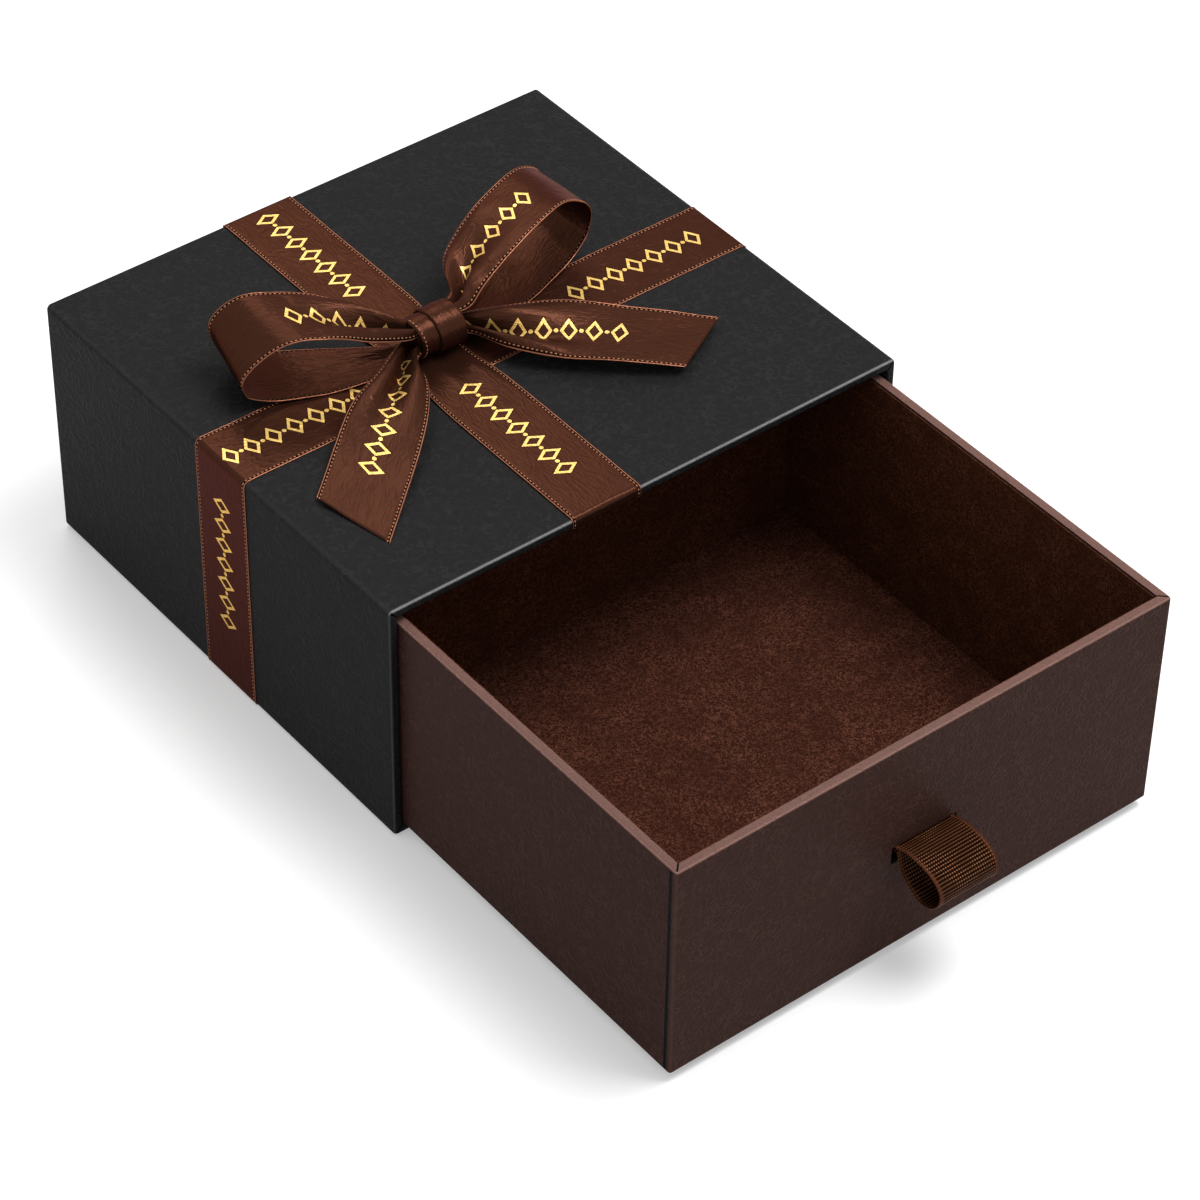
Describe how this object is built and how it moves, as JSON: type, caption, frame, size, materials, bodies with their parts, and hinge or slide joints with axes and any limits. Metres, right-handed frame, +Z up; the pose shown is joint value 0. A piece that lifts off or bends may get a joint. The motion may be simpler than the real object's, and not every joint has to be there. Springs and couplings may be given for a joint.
{
  "type": "sliding drawer gift box",
  "caption": "Rigid board sleeve, closed at the back, with a suede-lined drawer that slides out on a ribbon pull loop, tied with crossed satin ribbons and a bow.",
  "frame": {"origin": "on the surface that the box stands on, under the middle of the sleeve, on the underside of the crosswise ribbon", "axes": "+X to the right across the mouth as seen from the drawer's front, -Y out of the mouth the way the drawer slides out, +Z up"},
  "size_m": [0.3812, 0.6456, 0.2347],
  "materials": {
    "greyboard": "bare laminated greyboard",
    "stay_tape": "gummed kraft paper tape",
    "black_cover_paper": "black paper embossed with a fine leather grain, satin",
    "lining_paper": "smooth matt black paper",
    "plum_cover_paper": "plum-brown paper embossed with a fine leather grain, matt",
    "suede_liner": "dark brown flocked suede on card",
    "satin_ribbon": "brown satin with stitched edges",
    "grosgrain_ribbon": "brown ribbed grosgrain"
  },
  "bodies": {
    "sleeve": {"sleeve_top_board": "greyboard", "sleeve_bottom_board": "greyboard", "sleeve_left_board": "greyboard", "sleeve_right_board": "greyboard", "sleeve_back_board": "greyboard", "sleeve_stay_bottom_left": "stay_tape", "sleeve_stay_bottom_right": "stay_tape", "sleeve_stay_top_right": "stay_tape", "sleeve_stay_top_left": "stay_tape", "sleeve_wrap": "black_cover_paper", "sleeve_back_sheet": "black_cover_paper", "sleeve_lining": "lining_paper", "sleeve_back_lining": "lining_paper", "ribbon_crosswise": "satin_ribbon", "ribbon_lengthwise": "satin_ribbon", "bow_knot": "satin_ribbon", "bow_loop_left": "satin_ribbon", "bow_loop_right": "satin_ribbon", "bow_tail_front": "satin_ribbon", "bow_tail_right": "satin_ribbon"},
    "drawer": {"drawer_front_board": "greyboard", "drawer_back_board": "greyboard", "drawer_left_board": "greyboard", "drawer_right_board": "greyboard", "drawer_floor_board": "greyboard", "drawer_stay_front_left": "stay_tape", "drawer_stay_front_right": "stay_tape", "drawer_stay_back_right": "stay_tape", "drawer_stay_back_left": "stay_tape", "drawer_wrap": "plum_cover_paper", "liner_floor": "suede_liner", "liner_front": "suede_liner", "liner_back": "suede_liner", "liner_left": "suede_liner", "liner_right": "suede_liner", "pull_end_upper": "grosgrain_ribbon", "pull_end_lower": "grosgrain_ribbon"},
    "pull_loop": {"pull_loop": "grosgrain_ribbon"}
  },
  "joints": [
    {"name": "drawer_slide", "type": "slide", "parent": "sleeve", "child": "drawer", "axis": [0, -1, 0], "range_m": [-0.25, 0.065]},
    {"name": "pull_loop_lift", "type": "hinge", "parent": "drawer", "child": "pull_loop", "pos_m": [0, -0.4281, 0.08885], "axis": [-1, 0, 0], "range_deg": [0, 60]}
  ]
}
